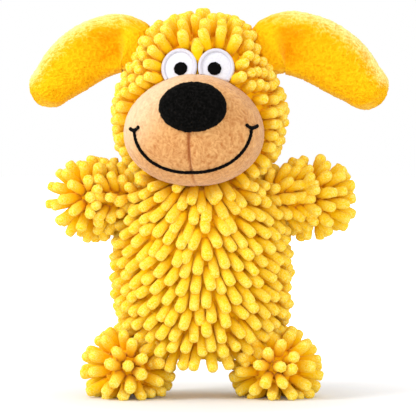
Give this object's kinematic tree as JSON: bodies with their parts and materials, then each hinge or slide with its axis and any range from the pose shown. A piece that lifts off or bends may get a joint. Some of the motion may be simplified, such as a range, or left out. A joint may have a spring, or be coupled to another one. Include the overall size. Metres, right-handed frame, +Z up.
{
  "type": "squeaky dog toy",
  "caption": "Stuffed dog toy in noodle-tufted fabric with floppy pile ears, a padded muzzle, felt eyes, a stitched smile and a reed squeaker in its belly that sounds when squeezed.",
  "frame": {"origin": "on the floor, under the middle of the whole toy's bounding box", "axes": "+Z up, +Y towards the toy's back, so the face looks along -Y and the toy's own left is +X"},
  "size_m": [0.2514, 0.1412, 0.2691],
  "materials": {
    "noodle_fabric": "chenille noodle tufts, matte",
    "ear_pile": "short plush pile, matte",
    "muzzle_pile": "short plush pile, matte",
    "nose_pile": "short plush pile, matte",
    "white_felt": "felt",
    "white_thread": "satin stitch, slight sheen",
    "black_felt": "felt",
    "black_thread": "embroidery thread, slight sheen",
    "fibre_fill": "loose polyester fibre",
    "bulb_plastic": "soft blow-moulded plastic",
    "reed_plastic": "moulded plastic",
    "reed_film": "thin film"
  },
  "bodies": {
    "torso": {"torso_back_panel": "noodle_fabric", "belly_wadding": "fibre_fill", "back_wadding": "fibre_fill", "squeaker_bulb": "bulb_plastic", "squeaker_reed_base": "reed_plastic", "squeaker_reed_clamp": "reed_plastic", "squeaker_reed": "reed_film"},
    "belly": {"torso_front_panel": "noodle_fabric"},
    "head": {"head_front_panel": "noodle_fabric", "head_back_panel": "noodle_fabric", "head_stuffing": "fibre_fill", "muzzle_right_panel": "muzzle_pile", "muzzle_left_panel": "muzzle_pile", "muzzle_stuffing": "fibre_fill", "nose_cover": "nose_pile", "nose_padding": "fibre_fill", "smile_stitch": "black_thread", "left_eye_white": "white_felt", "left_eye_rim": "white_thread", "left_pupil": "black_felt", "right_eye_white": "white_felt", "right_eye_rim": "white_thread", "right_pupil": "black_felt"},
    "left_ear": {"left_ear_front_panel": "ear_pile", "left_ear_back_panel": "ear_pile", "left_ear_padding": "fibre_fill"},
    "right_ear": {"right_ear_front_panel": "ear_pile", "right_ear_back_panel": "ear_pile", "right_ear_padding": "fibre_fill"},
    "left_arm": {"left_arm_cover": "noodle_fabric", "left_arm_stuffing": "fibre_fill"},
    "right_arm": {"right_arm_cover": "noodle_fabric", "right_arm_stuffing": "fibre_fill"},
    "left_leg": {"left_leg_cover": "noodle_fabric", "left_leg_stuffing": "fibre_fill"},
    "right_leg": {"right_leg_cover": "noodle_fabric", "right_leg_stuffing": "fibre_fill"}
  },
  "joints": [
    {"name": "belly_press", "type": "slide", "parent": "torso", "child": "belly", "axis": [0, 1, 0], "range_m": [0, 0.01], "stiffness_N_per_m": 1500, "deforming": ["belly_wadding", "squeaker_bulb"]},
    {"name": "head_turn", "type": "hinge", "parent": "torso", "child": "head", "pos_m": [-0.00035, 0.01252, 0.152], "axis": [0, 0, 1], "range_deg": [-15, 15], "stiffness_Nm_per_rad": 0.3},
    {"name": "left_ear_flop", "type": "hinge", "parent": "head", "child": "left_ear", "pos_m": [0.03592, 0.01337, 0.23576], "axis": [-0.0872, -0.9962, 0], "range_deg": [-20, 25], "stiffness_Nm_per_rad": 0.3},
    {"name": "right_ear_flop", "type": "hinge", "parent": "head", "child": "right_ear", "pos_m": [-0.03592, 0.01965, 0.23576], "axis": [0.0872, 0.9962, 0], "range_deg": [-20, 25], "stiffness_Nm_per_rad": 0.3},
    {"name": "left_arm_swing", "type": "hinge", "parent": "torso", "child": "left_arm", "pos_m": [0.0413, 0.01252, 0.138], "axis": [0, -1, 0], "range_deg": [-30, 12], "stiffness_Nm_per_rad": 0.3},
    {"name": "right_arm_swing", "type": "hinge", "parent": "torso", "child": "right_arm", "pos_m": [-0.04199, 0.01252, 0.138], "axis": [0, 1, 0], "range_deg": [-30, 12], "stiffness_Nm_per_rad": 0.3},
    {"name": "left_leg_swing", "type": "hinge", "parent": "torso", "child": "left_leg", "pos_m": [0.03665, 0.01252, 0.044], "axis": [-1, 0, 0], "range_deg": [-20, 20], "stiffness_Nm_per_rad": 1.5},
    {"name": "right_leg_swing", "type": "hinge", "parent": "torso", "child": "right_leg", "pos_m": [-0.03735, 0.01252, 0.044], "axis": [-1, 0, 0], "range_deg": [-20, 20], "stiffness_Nm_per_rad": 1.5}
  ]
}
